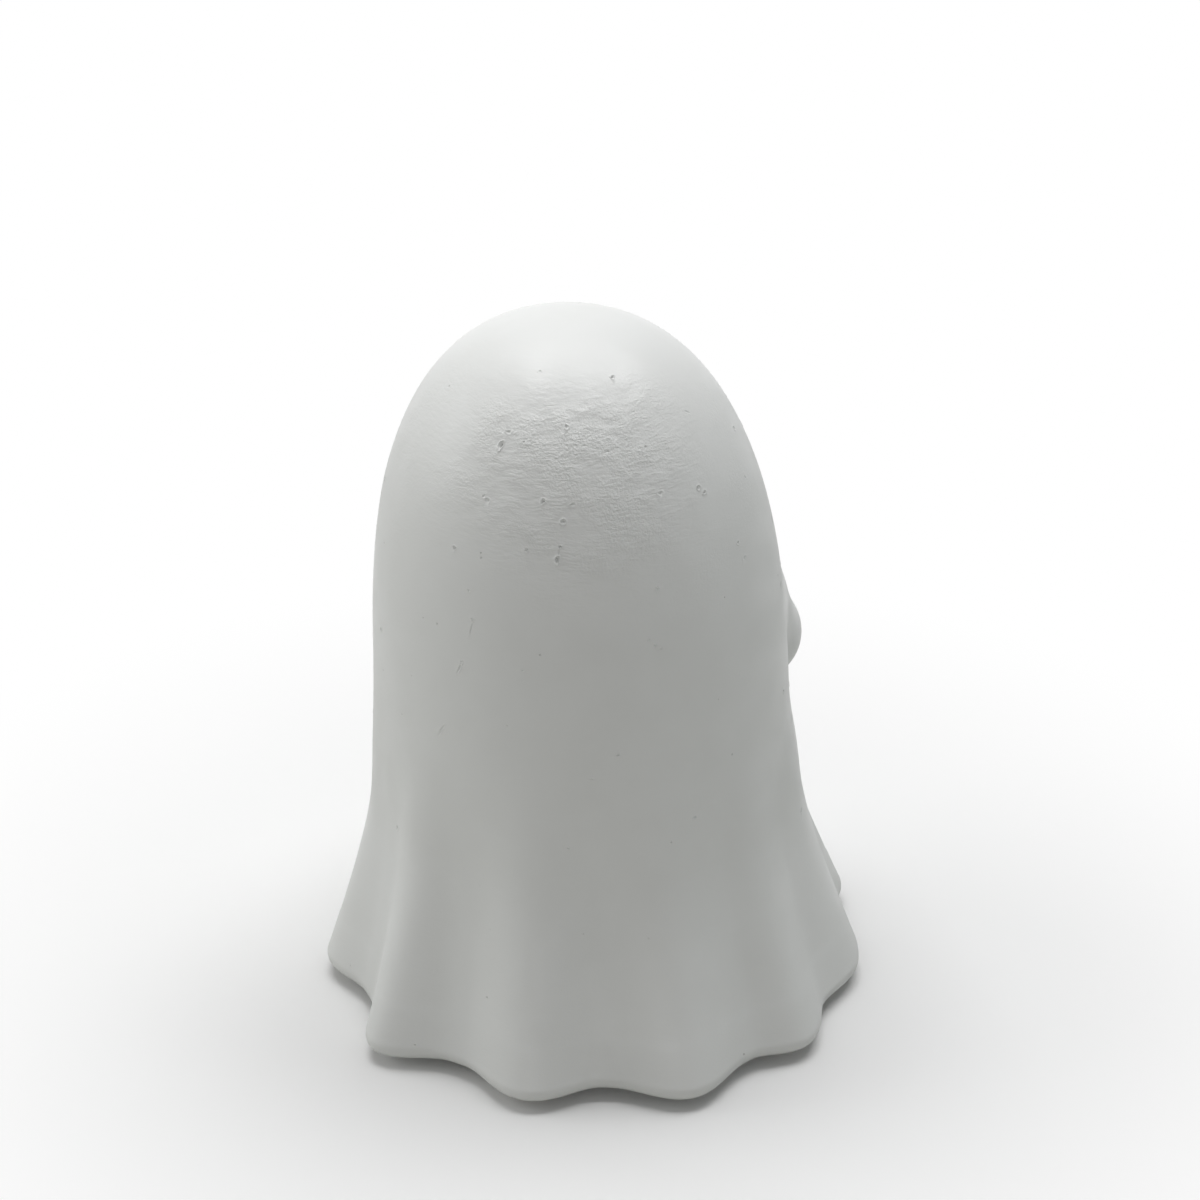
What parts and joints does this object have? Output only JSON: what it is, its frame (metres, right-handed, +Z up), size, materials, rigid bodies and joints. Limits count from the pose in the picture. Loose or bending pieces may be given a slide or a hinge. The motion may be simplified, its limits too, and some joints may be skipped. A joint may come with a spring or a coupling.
{
  "type": "ghost figurine",
  "caption": "Hollow cast figurine of a ghost under a sheet, domed head, stub arms and a folded flared hem, with inset eyes and mouth and felt feet.",
  "frame": {"origin": "centre of the footprint, on the surface that the felt pads stand on", "axes": "+Z up, the face looks along -Y, the figure's own left hand points to +X"},
  "size_m": [0.1172, 0.12, 0.152],
  "materials": {
    "casting": "matte",
    "face_black": "gloss",
    "felt": "matte"
  },
  "bodies": {
    "root": {"ghost_body": "casting", "left_eye": "face_black", "right_eye": "face_black", "mouth": "face_black", "felt_pad_1": "felt", "felt_pad_2": "felt", "felt_pad_3": "felt", "felt_pad_4": "felt", "felt_pad_5": "felt"}
  },
  "joints": []
}
